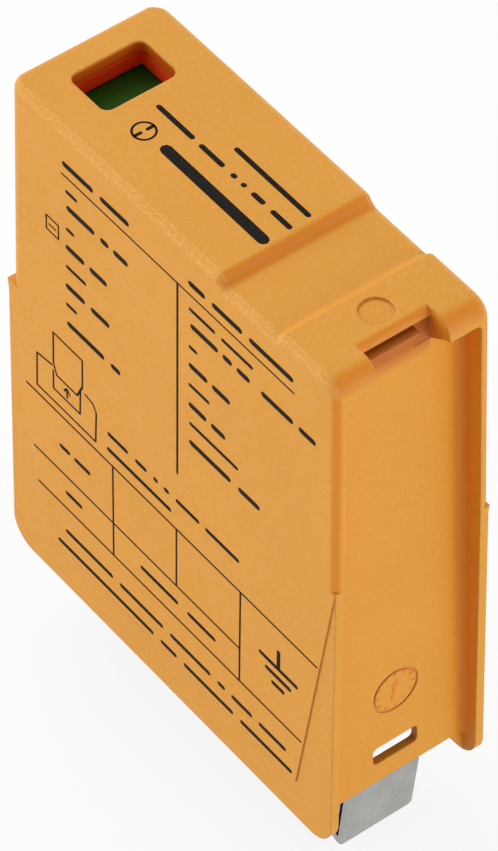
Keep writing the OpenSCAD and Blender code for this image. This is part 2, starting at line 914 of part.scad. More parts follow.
// Half rings that lean to and fro join into one smooth coil, with a flat half ring at each end.
module trip_spring() {
    ring = (spring_diameter - spring_wire) / 2;
    pitch = (spring_length - spring_wire) / spring_turns;
    lean = asin(pitch / 4 / ring);
    color("silver")
        lift()
            translate([bracket_face + spring_wire / 2, spring_middle, spring_level])
                rotate([0, 90, 0]) {
                    for (i = [0 : 2 * spring_turns - 1])
                        translate([0, 0, (i + 0.5) * pitch / 2])
                            rotate([0, lean, 180 * (i % 2)])
                                half_coil(ring);
                    rotate([0, 0, 180])
                        half_coil(ring * cos(lean));
                    translate([0, 0, spring_turns * pitch])
                        half_coil(ring * cos(lean));
                }
}

module half_coil(ring) {
    rotate_extrude(angle = 180, $fn = 16)
        translate([ring, 0])
            circle(d = spring_wire, $fn = 8);
}

housing_hood();
inner_carrier();
insulating_plate_near();
insulating_plate_far();
tube_ring();
tube_cap_near();
tube_cap_far();
strap_near();
strap_far();
blade_latch_end();
blade_window_end();
blade_rivets();
trip_slider();
solder_pad();
trip_spring();
red_tray();
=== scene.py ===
# %% [markdown]
# # A plug-in surge arrester module
# The module is a thin orange hood with two contact blades below it and a small window on top,
# where a green flag shows that the inside still works. The exact shapes come from the CAD frame.
# This lesson gives each shape its surface, adds the ink on the hood, and sets up light and camera.
# The sizes below are written in millimetres and turned into metres once, by one factor.

# %% Load the frame and keep its size
import math

import bpy
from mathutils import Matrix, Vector


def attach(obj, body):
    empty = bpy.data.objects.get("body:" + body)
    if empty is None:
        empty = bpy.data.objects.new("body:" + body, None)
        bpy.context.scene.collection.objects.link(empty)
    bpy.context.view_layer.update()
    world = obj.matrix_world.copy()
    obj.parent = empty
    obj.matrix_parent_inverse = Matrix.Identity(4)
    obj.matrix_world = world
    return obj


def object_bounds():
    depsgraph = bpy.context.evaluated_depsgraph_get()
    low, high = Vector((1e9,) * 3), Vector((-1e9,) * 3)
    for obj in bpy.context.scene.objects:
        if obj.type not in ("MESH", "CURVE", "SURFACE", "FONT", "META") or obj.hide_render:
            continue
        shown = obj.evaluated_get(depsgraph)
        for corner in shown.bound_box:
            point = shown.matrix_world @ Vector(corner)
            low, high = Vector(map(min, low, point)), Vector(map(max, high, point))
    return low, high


MM = 0.001
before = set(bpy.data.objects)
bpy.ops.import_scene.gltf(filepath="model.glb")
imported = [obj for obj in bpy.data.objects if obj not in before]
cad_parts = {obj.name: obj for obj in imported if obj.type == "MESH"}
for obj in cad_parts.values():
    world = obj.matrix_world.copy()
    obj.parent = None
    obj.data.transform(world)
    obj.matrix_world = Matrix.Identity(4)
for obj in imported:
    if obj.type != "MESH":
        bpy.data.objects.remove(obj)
cad_low, cad_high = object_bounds()
print("pieces from the CAD frame:", ", ".join(sorted(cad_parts)))
print("size in mm:", [round((b - a) / MM, 2) for a, b in zip(cad_low, cad_high)])

# %% [markdown]
# ## The camera
# The photo looks down at the near large face and at the end with the latch. A camera can be set by
# eye, but here the direction and the distance were found by fitting the straight edges of the hood,
# so the same edges fall on the same places in the picture. The lens is long: a small object seen
# from half a metre away.

# %% Place the camera
CAMERA_PLACE = Vector((0.26739, -0.20534, 0.40603))
CAMERA_AZIMUTH, CAMERA_ELEVATION = 52.41, 47.64
SENSOR_WIDTH, LENS_LENGTH = 36.0, 245.4
NEAREST, FARTHEST = 0.02, 20.0

lens = bpy.data.cameras.new("photo_camera")
lens.sensor_width = SENSOR_WIDTH
lens.lens = LENS_LENGTH
lens.clip_start, lens.clip_end = NEAREST, FARTHEST
camera = bpy.data.objects.new("photo_camera", lens)
bpy.context.scene.collection.objects.link(camera)
turn, rise = math.radians(CAMERA_AZIMUTH), math.radians(CAMERA_ELEVATION)
back = Vector((math.sin(turn) * math.cos(rise), -math.cos(turn) * math.cos(rise), math.sin(rise)))
camera.location = CAMERA_PLACE
camera.rotation_mode = "QUATERNION"
camera.rotation_quaternion = (-back).to_track_quat("-Z", "Y")
bpy.context.scene.camera = camera
print("camera is", round(CAMERA_PLACE.length, 3), "m from the foot of the object")

# %% [markdown]
# ## A small tool box for materials
# Every surface here is made of shader nodes: noise stands for the grain of a moulding or the
# marks of rolling on a metal strip. Painted pictures would have to be unwrapped onto the faces and
# would blur close up, and noise does not. A short helper adds a node and sets its inputs by name,
# so that each material further down reads as a list of what it is made of.

# %% Add nodes, grain and ramps
def new_surface(name):
    surface = bpy.data.materials.new(name)
    surface.use_nodes = True
    tree = surface.node_tree
    return surface, tree, tree.nodes["Principled BSDF"]


def add_node(tree, kind, **inputs):
    node = tree.nodes.new(kind)
    for key, value in inputs.items():
        node.inputs[key.replace("_", " ")].default_value = value
    return node


def grain(tree, scale, detail=3.0, roughness=0.55, stretch=(1.0, 1.0, 1.0)):
    place = tree.nodes.new("ShaderNodeTexCoord")
    mapping = add_node(tree, "ShaderNodeMapping", Scale=stretch)
    noise = add_node(tree, "ShaderNodeTexNoise", Scale=scale, Detail=detail, Roughness=roughness)
    tree.links.new(place.outputs["Object"], mapping.inputs["Vector"])
    tree.links.new(mapping.outputs["Vector"], noise.inputs["Vector"])
    return noise.outputs["Fac"]


def spread(tree, value, low, high, new_low, new_high):
    ramp = add_node(tree, "ShaderNodeMapRange",
                    From_Min=low, From_Max=high, To_Min=new_low, To_Max=new_high)
    tree.links.new(value, ramp.inputs["Value"])
    return ramp.outputs["Result"]


# %% [markdown]
# ## Mixing colours and masks
# A mask is a number between 0 and 1 on each spot of a surface. It could be painted on the mesh, but
# worked out by nodes it follows the shape by itself. Two masks are multiplied where both have to
# hold, and a mask decides how much of a second colour goes over the first. The Mix node keeps its
# colours at places 6 and 7 of a list that it shares with its other kinds of data.

# %% Mix colours and masks
MIX_FIRST, MIX_SECOND, MIX_RESULT = 6, 7, 2


def blend_colours(tree, share, first, second):
    mix = tree.nodes.new("ShaderNodeMix")
    mix.data_type = "RGBA"
    tree.links.new(share, mix.inputs["Factor"])
    for socket, colour in ((mix.inputs[MIX_FIRST], first), (mix.inputs[MIX_SECOND], second)):
        if isinstance(colour, tuple):
            socket.default_value = (*colour, 1.0)
        else:
            tree.links.new(colour, socket)
    return mix.outputs[MIX_RESULT]


def combine(tree, operation, first, second):
    node = tree.nodes.new("ShaderNodeMath")
    node.operation = operation
    tree.links.new(first, node.inputs[0])
    tree.links.new(second, node.inputs[1])
    return node.outputs[0]


def times(tree, first, second):
    return combine(tree, "MULTIPLY", first, second)


# %% [markdown]
# ## Relief, wear and painted shade
# Fine grain is too small to model, so a Bump node only tilts the light on it. The Bevel node gives
# the normal of a slightly rounded edge: where that differs from the flat normal there is an edge,
# and the edges of a used part are rubbed. Ambient Occlusion tells how open a spot lies, and so it
# finds wells and inner corners, where a deeper colour is mixed in as painted shade.

# %% Tilt the grain, find edges and wells
EDGE_STARTS, EDGE_FULL = 0.995, 0.90
WELL_STARTS, WELL_FULL = 0.86, 0.34
EDGE_SAMPLES, WELL_SAMPLES = 4, 8


def relief(tree, shader, height, depth, strength, under=None):
    bump = add_node(tree, "ShaderNodeBump", Strength=strength, Distance=depth)
    tree.links.new(height, bump.inputs["Height"])
    if under is not None:
        tree.links.new(under, bump.inputs["Normal"])
    tree.links.new(bump.outputs["Normal"], shader.inputs["Normal"])


def worn_edges(tree, radius):
    soft = add_node(tree, "ShaderNodeBevel", Radius=radius)
    soft.samples = EDGE_SAMPLES
    flat = tree.nodes.new("ShaderNodeNewGeometry")
    dot = tree.nodes.new("ShaderNodeVectorMath")
    dot.operation = "DOT_PRODUCT"
    tree.links.new(soft.outputs["Normal"], dot.inputs[0])
    tree.links.new(flat.outputs["Normal"], dot.inputs[1])
    wear = spread(tree, dot.outputs["Value"], EDGE_STARTS, EDGE_FULL, 0.0, 1.0)
    return wear, soft.outputs["Normal"]


def recess_shade_mask(tree, reach):
    open_sky = add_node(tree, "ShaderNodeAmbientOcclusion", Distance=reach)
    open_sky.samples = WELL_SAMPLES
    return spread(tree, open_sky.outputs["AO"], WELL_STARTS, WELL_FULL, 0.0, 1.0)


# %% [markdown]
# ## Masks for places on the hood
# Some painted shade, and the sheen on the top edges, belong to one place. A second material on some
# faces would end in a hard line, and a mask can fade. The object's own normal tells which way a spot
# looks: on the roundings of the long top edges both up and sideways, and on a slope toward the latch
# that way in part only. A box with soft borders, given in millimetres, marks a place by its position.

# %% Find edges, slopes and boxes on the hood
LEAN_STARTS, LEAN_FULL = 0.05, 0.25
SLOPE_STARTS, SLOPE_FULL = 0.15, 0.45
WALL_STARTS, WALL_ENDS = 0.985, 0.90


def three_parts(tree, output):
    place = tree.nodes.new("ShaderNodeTexCoord")
    parts = tree.nodes.new("ShaderNodeSeparateXYZ")
    tree.links.new(place.outputs[output], parts.inputs[0])
    return parts.outputs


def long_top_edges(tree):
    normal = three_parts(tree, "Normal")
    aside = tree.nodes.new("ShaderNodeMath")
    aside.operation = "ABSOLUTE"
    tree.links.new(normal["Y"], aside.inputs[0])
    looks_up = spread(tree, normal["Z"], LEAN_STARTS, LEAN_FULL, 0.0, 1.0)
    looks_aside = spread(tree, aside.outputs[0], LEAN_STARTS, LEAN_FULL, 0.0, 1.0)
    return times(tree, looks_up, looks_aside)


def slopes_toward_latch(tree):
    normal = three_parts(tree, "Normal")
    in_part = spread(tree, normal["X"], SLOPE_STARTS, SLOPE_FULL, 0.0, 1.0)
    not_the_wall = spread(tree, normal["X"], WALL_STARTS, WALL_ENDS, 0.0, 1.0)
    return times(tree, in_part, not_the_wall)


def inside_box(tree, low, high, fade_low, fade_high):
    place = three_parts(tree, "Object")
    share = None
    for i, axis in enumerate("XYZ"):
        for edge, fade in ((low[i], -fade_low[i]), (high[i], fade_high[i])):
            step = spread(tree, place[axis], (edge + fade) * MM, edge * MM, 0.0, 1.0)
            share = step if share is None else times(tree, share, step)
    return share


# %% [markdown]
# ## The moulded plastics
# The hood is moulded in a self-extinguishing plastic. Its surface was spark-eroded in the tool, so
# it is matt with a very fine grain. Slopes toward the latch get a deeper colour as painted shade,
# the long top edges get pale specks as painted sheen together with rubbing at each plugging, and
# wells and inner corners get a deeper colour as painted shade too. One plain colour would look like
# paint, so noises of several sizes do this: a broad one drifts the colour,
# a middle one breaks the gloss, and fine ones are the grain, its flecks and the patches of wear.
# Each ramp below names where in the noise it starts and ends, and the share it gives there.

# %% Write the recipe for plastic
NOISE_SPAN = (0.3, 0.7)
COLOUR_DRIFT, GLOSS_PATCHES, WEAR_PATCHES, FINE_GRAIN = 90.0, 700.0, 2600.0, 5200.0
FLECKS = (0.35, 0.75, 0.0, 0.22)
WEAR_SHARE = (0.35, 0.65, 0.1, 0.45)
SHEEN_AND_RUB_SPECKS = (0.42, 0.62, 0.08, 0.36)
PLASTIC_GLOSS = (0.46, 0.58)
GRAIN_DEPTH, WELL_REACH = 0.012, 6.0
SLOPE_SHADE_TONE = (1.0, 0.78, 0.55)


def moulded_plastic(name, deep, light, edge, recess_shade, sheen=0.3, edge_radius=0.28, painted_shade_boxes=()):
    surface, tree, shader = new_surface(name)
    drift = spread(tree, grain(tree, COLOUR_DRIFT, detail=2.0), *NOISE_SPAN, 0.0, 1.0)
    speck = grain(tree, FINE_GRAIN, detail=2.0)
    body = blend_colours(tree, drift, deep, light)
    flecked = blend_colours(tree, spread(tree, speck, *FLECKS), body, edge)
    wear, rounded = worn_edges(tree, edge_radius * MM)
    patchy = times(tree, wear, spread(tree, grain(tree, WEAR_PATCHES, detail=4.0), *WEAR_SHARE))
    # Slopes toward the latch get a deeper tone: painted shade.
    slope_shade = tuple(part * tone for part, tone in zip(light, SLOPE_SHADE_TONE))
    slope_shaded = blend_colours(tree, slopes_toward_latch(tree), flecked, slope_shade)
    worn = blend_colours(tree, patchy, slope_shaded, edge)
    # The long top edges get pale specks: painted sheen together with rubbing.
    specks = spread(tree, grain(tree, FINE_GRAIN, detail=3.0), *SHEEN_AND_RUB_SPECKS)
    sheen_and_rub = blend_colours(tree, times(tree, long_top_edges(tree), specks), worn, edge)
    # Wells and inner corners get a deeper colour here: painted shade.
    finish = blend_colours(tree, recess_shade_mask(tree, WELL_REACH * MM), sheen_and_rub, recess_shade)
    # Each box mixes a deeper colour into its place: painted shade.
    for box, shade in painted_shade_boxes:
        finish = blend_colours(tree, inside_box(tree, *box), finish, shade)
    gloss = spread(tree, grain(tree, GLOSS_PATCHES), *NOISE_SPAN, *PLASTIC_GLOSS)
    tree.links.new(finish, shader.inputs["Base Color"])
    tree.links.new(gloss, shader.inputs["Roughness"])
    shader.inputs["Specular IOR Level"].default_value = sheen
    relief(tree, shader, speck, GRAIN_DEPTH * MM, strength=0.6, under=rounded)
    return surface


# %% [markdown]
# ## Four plastics
# The hood is orange, the carrier inside it grey, the flag green and the tray under the flag red.
# Little light reaches the wall below the latch slit or the walls of the window. The even light of
# this scene fills them more than the photo shows, so two boxes on the hood mix in a deeper shade
# there. A box is its low and its high corner, and how far it fades below the one and above the other.

# %% Make the plastics
# These two boxes hold painted shade: the wall under the latch slit and the walls of the window.
BELOW_SLIT = ((19.5, -3.5, 62.3), (30.0, 3.5, 64.5), (0.5, 0.3, 1.9), (0.5, 0.3, 0.1))
SLIT_SHADE = (0.48, 0.115, 0.001)
WINDOW_WALLS = ((-19.5, -4.0, 60.0), (-13.8, 4.0, 65.15), (0.1, 0.1, 0.1), (0.1, 0.1, 0.3))
WINDOW_SHADE = (0.56, 0.10, 0.0015)

orange_plastic = moulded_plastic(
    "orange_plastic", deep=(0.67, 0.274, 0.008), light=(0.70, 0.288, 0.012),
    edge=(0.84, 0.48, 0.16), recess_shade=(0.76, 0.205, 0.004), sheen=0.33,
    painted_shade_boxes=((BELOW_SLIT, SLIT_SHADE), (WINDOW_WALLS, WINDOW_SHADE)))
grey_plastic = moulded_plastic(
    "grey_plastic", deep=(0.30, 0.31, 0.32), light=(0.36, 0.37, 0.37),
    edge=(0.50, 0.50, 0.50), recess_shade=(0.20, 0.20, 0.21))
green_plastic = moulded_plastic(
    "green_plastic", deep=(0.024, 0.120, 0.007), light=(0.032, 0.150, 0.010),
    edge=(0.07, 0.24, 0.03), recess_shade=(0.02, 0.08, 0.004), sheen=0.1)
red_plastic = moulded_plastic(
    "red_plastic", deep=(0.88, 0.085, 0.014), light=(0.92, 0.100, 0.018),
    edge=(0.94, 0.18, 0.05), recess_shade=(0.84, 0.07, 0.010), sheen=0.15)
print("the hood's plastic is made of", len(orange_plastic.node_tree.nodes), "nodes")

# %% [markdown]
# ## Metals
# The blades are stamped from rolled strip and tinned, so their grain runs along the strip and the
# tin is slightly cloudy. The straps are bare brass, the caps of the tube nickel plated, the spring
# drawn steel. Each could have a material of its own, but one recipe with other numbers serves them
# all: a noise stretched along the strip for the drawing marks, and a round one for the clouds.

# %% Make the metals
DRAWING_MARKS, METAL_CLOUDS = 900.0, 420.0
METAL_EDGE, WORN_METAL = 0.12, 1.25
UPRIGHT, LENGTHWISE, CROSSWISE = (1.0, 1.0, 0.08), (0.08, 1.0, 1.0), (1.0, 0.1, 1.0)
ALONG_COIL, EVEN = (0.2, 1.0, 1.0), (1.0, 1.0, 1.0)


def brighter(colour, factor):
    return tuple(min(1.0, part * factor) for part in colour)


def drawn_metal(name, dark, light, gloss, along, depth=0.004):
    surface, tree, shader = new_surface(name)
    marks = grain(tree, DRAWING_MARKS, detail=4.0, roughness=0.6, stretch=along)
    clouds = spread(tree, grain(tree, METAL_CLOUDS, detail=4.0), *NOISE_SPAN, 0.0, 1.0)
    wear, rounded = worn_edges(tree, METAL_EDGE * MM)
    body = blend_colours(tree, clouds, dark, light)
    finish = blend_colours(tree, wear, body, brighter(light, WORN_METAL))
    tree.links.new(finish, shader.inputs["Base Color"])
    shader.inputs["Metallic"].default_value = 1.0
    tree.links.new(spread(tree, marks, *NOISE_SPAN, *gloss), shader.inputs["Roughness"])
    relief(tree, shader, marks, depth * MM, strength=0.5, under=rounded)
    return surface


# Dark and light colour, gloss from and to, way of the grain, and its depth where that is not the usual.
METALS = {
    "tinned_strip": ((0.335, 0.335, 0.322), (0.41, 0.41, 0.392), (0.24, 0.38), UPRIGHT),
    "brass_strip": ((0.66, 0.44, 0.17), (0.76, 0.54, 0.23), (0.24, 0.40), LENGTHWISE),
    "nickel_cap": ((0.56, 0.54, 0.49), (0.66, 0.63, 0.57), (0.20, 0.34), EVEN),
    "rivet_brass": ((0.60, 0.42, 0.19), (0.70, 0.51, 0.25), (0.26, 0.40), CROSSWISE),
    "spring_wire": ((0.40, 0.40, 0.41), (0.52, 0.52, 0.53), (0.22, 0.36), ALONG_COIL),
    "dull_solder": ((0.48, 0.48, 0.48), (0.60, 0.60, 0.59), (0.36, 0.58), EVEN, 0.02),
}
metals = {name: drawn_metal(name, *recipe) for name, recipe in METALS.items()}
print("metals:", ", ".join(metals))

# %% [markdown]
# ## Ceramic and insulation
# The ring of the gas tube is a sintered ceramic with a thin glaze, and the plates beside the straps
# are pressed fibre. Both are cloudy rather than drawn, so the metals' stretched noise would be
# wrong here: one round noise sets colour and gloss, and a finer one is the relief.

# %% Make the ceramic and the fibre
SHEET_EDGE, WORN_SHEET = 0.15, 1.15
RELIEF_FINER = 6.0


def pressed_sheet(name, dark, light, gloss, scale, depth):
    surface, tree, shader = new_surface(name)
    cloud = grain(tree, scale, detail=5.0)
    wear, rounded = worn_edges(tree, SHEET_EDGE * MM)
    body = blend_colours(tree, spread(tree, cloud, *NOISE_SPAN, 0.0, 1.0), dark, light)
    finish = blend_colours(tree, wear, body, brighter(light, WORN_SHEET))
    tree.links.new(finish, shader.inputs["Base Color"])
    tree.links.new(spread(tree, cloud, *NOISE_SPAN, *gloss), shader.inputs["Roughness"])
    relief(tree, shader, grain(tree, scale * RELIEF_FINER), depth * MM, strength=0.5, under=rounded)
    return surface


white_ceramic = pressed_sheet(
    "white_ceramic", (0.74, 0.72, 0.66), (0.82, 0.80, 0.75), gloss=(0.22, 0.36), scale=500.0, depth=0.006)
grey_fibre = pressed_sheet(
    "grey_fibre", (0.50, 0.42, 0.28), (0.60, 0.52, 0.36), gloss=(0.55, 0.75), scale=900.0, depth=0.015)
print("sheets:", white_ceramic.name, "and", grey_fibre.name)

# %% [markdown]
# ## Which piece gets which surface
# The CAD pieces keep their shapes and only get a surface. It is looked up by the piece's name in
# one list, so a piece that was forgotten shows at once in the count that is printed.

# %% Give the surfaces to the pieces
SURFACES = {
    "housing_hood": orange_plastic,
    "inner_carrier": grey_plastic,
    "trip_slider": green_plastic,
    "red_tray": red_plastic,
    "blade_latch_end": metals["tinned_strip"],
    "blade_window_end": metals["tinned_strip"],
    "strap_near": metals["brass_strip"],
    "strap_far": metals["brass_strip"],
    "tube_cap_near": metals["nickel_cap"],
    "tube_cap_far": metals["nickel_cap"],
    "tube_ring": white_ceramic,
    "blade_rivets": metals["rivet_brass"],
    "trip_spring": metals["spring_wire"],
    "solder_pad": metals["dull_solder"],
    "insulating_plate_near": grey_fibre,
    "insulating_plate_far": grey_fibre,
}
for node_name, surface in SURFACES.items():
    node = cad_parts[node_name]
    node.data.materials.clear()
    node.data.materials.append(surface)
print("surfaces given to", len(SURFACES), "of", len(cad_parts), "pieces")

# %% [markdown]
# ## The ink on the hood
# On the real module the print is laid on by a soft silicone pad, as a film of ink about one
# hundredth of a millimetre thick. A picture on the face would have no edge and no gloss of its own,
# so each field of ink is a closed thin plate. It is drawn flat first, as (u, v) in millimetres on
# its face, and then lifted onto the face by a small function, because the near face leans by less
# than a degree and the ink has to lean with it. The plate starts a little under the face, so that
# no gap shows below it.

# %% Put flat shapes on the leaning faces
INK_FILM, INK_ROOT = 0.008, 0.004
SKIRT_Z, TOP_Z, HALF_TOP, FACE_SLOPE = 7.3, 65.5, 8.0, 0.012043


def on_near_face(u, v, h):
    # u runs along the hood, v up from the skirt, h out of the face.
    z = v + SKIRT_Z
    return Vector((u, -(HALF_TOP + FACE_SLOPE * (TOP_Z - z)) - h, z)) * MM


def on_top(u, v, h):
    # The top is level: u along the hood and v across it.
    return Vector((u, v, TOP_Z + h)) * MM


def lay_plates(name, outlines, lift, surface):
    points, faces = [], []
    for outline in outlines:
        first, count = len(points), len(outline)
        points += [lift(u, v, -INK_ROOT) for u, v in outline]
        points += [lift(u, v, INK_FILM) for u, v in outline]
        faces.append([first + count + i for i in range(count)])
        faces.append([first + i for i in reversed(range(count))])
        for i in range(count):
            j = (i + 1) % count
            faces.append([first + i, first + j, first + count + j, first + count + i])
    mesh = bpy.data.meshes.new(name)
    mesh.from_pydata(points, [], faces)
    mesh.materials.append(surface)
    mesh.update()
    piece = bpy.data.objects.new(name, mesh)
    bpy.context.scene.collection.objects.link(piece)
    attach(piece, "module")
    print(name, "has", len(outlines), "fields")


# %% [markdown]
# ## Lines, bars and rings
# Three simple shapes are enough for the whole print. They could be Blender curves turned into
# meshes, but a list of corner points is shorter. A stroke is a straight line with round ends, a bar
# is a stroke lying along the hood, and a ring is made of two half rings so that each field stays a
# plain polygon without a hole.

# %% Draw strokes, bars and rings
def stroke(start, end, width, corner=4):
    a, b = Vector(start), Vector(end)
    along = (b - a).normalized()
    side = Vector((-along.y, along.x))
    outline = []
    for middle, from_angle in ((b, -90.0), (a, 90.0)):
        for i in range(corner + 1):
            angle = math.radians(from_angle + 180.0 * i / corner)
            point = middle + (along * math.cos(angle) + side * math.sin(angle)) * width / 2
            outline.append((point.x, point.y))
    return outline


def path(points, width):
    return [stroke(a, b, width) for a, b in zip(points, points[1:])]


def bar(u0, u1, v, height):
    return stroke((u0 + height / 2, v), (u1 - height / 2, v), height)


def bars(lines, height):
    return [bar(u0, u1, v, height) for v, spans in lines for u0, u1 in spans]


def half_circle(centre, radius, begin, steps):
    angles = [math.radians(begin + 180.0 * i / steps) for i in range(steps + 1)]
    return [(centre[0] + radius * math.cos(a), centre[1] + radius * math.sin(a)) for a in angles]


def ring(centre, radius, width, steps=16):
    halves = []
    for begin in (0.0, 180.0):
        outer = half_circle(centre, radius + width / 2, begin, steps)
        inner = half_circle(centre, radius - width / 2, begin, steps)
        halves.append(outer + inner[::-1])
    return halves


# %% [markdown]
# ## The ink itself
# Printing ink dries matt and nearly black. Plain black would do from afar, but under a glass the
# film is not even: it is thinner in places and takes on a little of the grain below. So one noise
# varies both its shade and its gloss.

# %% Make the ink
INK_GRAIN, INK_RELIEF = 2400.0, 0.004
INK_THICK, INK_THIN = (0.008, 0.007, 0.006), (0.020, 0.016, 0.013)
INK_GLOSS, INK_SHEEN = (0.55, 0.75), 0.05

black_ink, tree, shader = new_surface("black_ink")
film = grain(tree, INK_GRAIN, detail=4.0)
shade = blend_colours(tree, spread(tree, film, *NOISE_SPAN, 0.0, 1.0), INK_THICK, INK_THIN)
tree.links.new(shade, shader.inputs["Base Color"])
tree.links.new(spread(tree, film, *NOISE_SPAN, *INK_GLOSS), shader.inputs["Roughness"])
shader.inputs["Specular IOR Level"].default_value = INK_SHEEN
relief(tree, shader, film, INK_RELIEF * MM, strength=0.4)
print("the film of ink is", INK_FILM, "mm thick")

# %% [markdown]
# ## The table on the near face
# The near face carries two columns under a head line, and a small table at the foot. Its rules come
# first, because everything else lines up with them. A rule is one stroke between two points on the
# face, with a width of its own, and the heights that several rules share have names.

# %% Print the rules
HEAD, UPPER, MIDDLE, LOWER = 53.1, 22.5, 15.1, 10.85
RULES = [
    ((-14.7, HEAD), (17.1, HEAD), 0.2),
    ((1.45, HEAD), (1.45, 29.8), 0.28),
    ((-20.6, UPPER), (21.0, UPPER), 0.24),
    ((-19.6, MIDDLE), (10.4, MIDDLE), 0.24),
    ((-19.1, LOWER), (19.1, LOWER), 0.24),
    ((-7.87, UPPER), (-7.87, LOWER), 0.24),
    ((1.33, UPPER), (1.33, MIDDLE), 0.24),
    ((10.4, UPPER), (10.4, LOWER), 0.24),
]
rules = [stroke(*rule) for rule in RULES]
lay_plates("print_rules", rules, on_near_face, black_ink)

# %% [markdown]
# ## The lines of the table
# Each line of the table is a row of plain bars, thick for the large lines and thin for the small
# ones. A line is written as its height on the face and the spans of its bars, from left to right,
# so that it can be moved or lengthened by one number.

# %% Print the lines as bars
SMALL, LARGE, FOOT = 0.42, 0.62, 0.5
SMALL_LINES = [
    (51.4, [(-14.2, -12.5), (3.0, 6.6), (7.4, 11.7)]),
    (46.9, [(-14.2, -13.0), (3.0, 4.2)]),
    (42.3, [(-14.3, -11.4), (3.0, 5.9)]),
    (37.6, [(-14.4, -12.8), (3.1, 9.9)]),
]
LARGE_LINES = [
    (49.55, [(-14.1, -10.1), (-9.3, -8.1), (-7.5, -5.4), (3.2, 7.0), (7.6, 8.9), (9.5, 11.3),
             (12.8, 17.1), (17.8, 20.1)]),
    (44.7, [(-14.3, -11.6), (-10.9, -8.4), (3.0, 5.6), (6.2, 8.7)]),
    (39.9, [(-14.4, -11.6), (-10.8, -8.1), (3.0, 5.5), (6.1, 8.1)]),
    (35.3, [(-14.3, -8.9), (-8.0, -6.6), (3.1, 8.9), (9.9, 12.9)]),
    (54.45, [(-14.6, -10.2), (-9.3, -5.2), (2.9, 5.2), (6.1, 10.2), (11.1, 17.0)]),
]
FOOT_LINES = [
    (26.2, [(-8.6, -5.6), (-4.6, -2.9), (-2.0, -1.3), (-0.5, 0.3), (1.2, 4.6), (5.4, 10.2)]),
    (24.2, [(-8.7, 0.6)]),
    (18.5, [(-15.8, -14.2), (-13.6, -11.2)]),
    (12.95, [(-15.0, -12.5), (-3.9, 1.6), (2.9, 7.0)]),
    (7.75, [(-15.1, -8.0), (-7.0, -0.6), (0.4, 6.3), (7.3, 8.4), (9.3, 12.3), (13.2, 17.1)]),
    (5.6, [(-16.3, -2.0), (-1.0, 1.4), (2.4, 9.6), (10.6, 18.0)]),
]
value_bars = bars(SMALL_LINES, SMALL) + bars(LARGE_LINES, LARGE) + bars(FOOT_LINES, FOOT)
lay_plates("print_values", value_bars, on_near_face, black_ink)

# %% [markdown]
# ## Symbols
# The pull-out symbol shows a module lifted from its base, which is what this one is made for. The
# boxed dash beside the table and the earth symbol in it were chosen for this model: such a module
# leads a surge to earth, and the symbol is a stem over three bars, each shorter than the one above.
# Each outline is a path of strokes through its corners, so the round ends of the strokes close the
# corners by themselves.

# %% Print the symbols
FINE_LINE, LINE, HEAVY_LINE = 0.2, 0.24, 0.5
LIFTED_MODULE = [(-16.45, 28.4), (-16.4, 32.3), (-12.15, 32.3), (-12.2, 28.9), (-13.0, 27.2),
                 (-16.0, 27.2), (-16.45, 28.4)]
PLUG_POCKET = [(-16.5, 27.4), (-16.5, 25.15), (-12.6, 25.15), (-12.5, 28.2)]
BASE_OUTLINE = [(-16.7, 28.0), (-18.9, 27.7), (-19.0, 23.55), (-10.35, 23.55), (-10.2, 27.3),
                (-10.7, 28.1), (-11.8, 28.3)]
LIFT_STEM = [(-14.5, 25.6), (-14.5, 26.7)]
LIFT_HEAD = [(-14.9, 26.2), (-14.5, 26.7), (-14.1, 26.2)]
DASH_BOX = [(-17.05, 44.65), (-17.05, 46.3), (-15.3, 46.3), (-15.3, 44.65), (-17.05, 44.65)]
DASH = [(-16.65, 45.45), (-15.7, 45.45)]
EARTH_U = 15.8
EARTH_STEM = [(EARTH_U, 19.6), (EARTH_U, 17.6)]
EARTH_BARS = ((2.5, 17.4), (1.6, 16.2), (0.7, 15.0))

symbols = []
for points in (LIFTED_MODULE, PLUG_POCKET, BASE_OUTLINE, LIFT_STEM, LIFT_HEAD):
    symbols += path(points, LINE)
symbols += path(DASH_BOX, FINE_LINE) + path(DASH, FINE_LINE) + path(EARTH_STEM, HEAVY_LINE)
for half, v in EARTH_BARS:
    symbols.append(stroke((EARTH_U - half, v), (EARTH_U + half, v), HEAVY_LINE))
lay_plates("print_symbols", symbols, on_near_face, black_ink)

# %% [markdown]
# ## The print on top
# The top carries the lines that stay in view when the module sits in a row of others. The ring with
# two points facing each other was chosen for this model: it is the common symbol of a spark gap,
# which is what a gas tube is. The top is level, so the same strokes and bars are laid on it by the
# simpler of the two functions.

# %% Print the top
TOP_HEAVY, TOP_LIGHT = 1.1, 0.5
HEAVY_TOP_LINES = [(-2.45, [(-8.0, 6.3)])]
LIGHT_TOP_LINES = [
    (2.2, [(-4.1, 6.05)]),
    (0.12, [(-12.1, -7.0), (-6.2, -2.9), (-1.9, -1.2), (-0.5, 0.1), (0.9, 2.6), (3.5, 6.2)]),
]
GAP_CENTRE, GAP_RADIUS, GAP_LINE, GAP_POINT = (-10.3, -2.6), 1.05, 0.22, 0.34
GAP_POINTS = ([(-10.3, -1.6), (-10.3, -2.25)], [(-10.3, -3.6), (-10.3, -2.95)])

top_ink = bars(HEAVY_TOP_LINES, TOP_HEAVY) + bars(LIGHT_TOP_LINES, TOP_LIGHT)
top_ink += ring(GAP_CENTRE, GAP_RADIUS, GAP_LINE)
for points in GAP_POINTS:
    top_ink += path(points, GAP_POINT)
lay_plates("print_top", top_ink, on_top, black_ink)

# %% [markdown]
# ## The date mark
# A moulding tool has a small insert whose arrow is turned to the month. It leaves a ring with ticks
# and an arrow on the end wall. The ring is a groove in the CAD. The ticks and the arrow stand a few
# hundredths of a millimetre proud, too little to show by shading alone, so their plastic is coloured
# a little deeper than the hood's as painted shade, with less wear on their edges because they are so small.

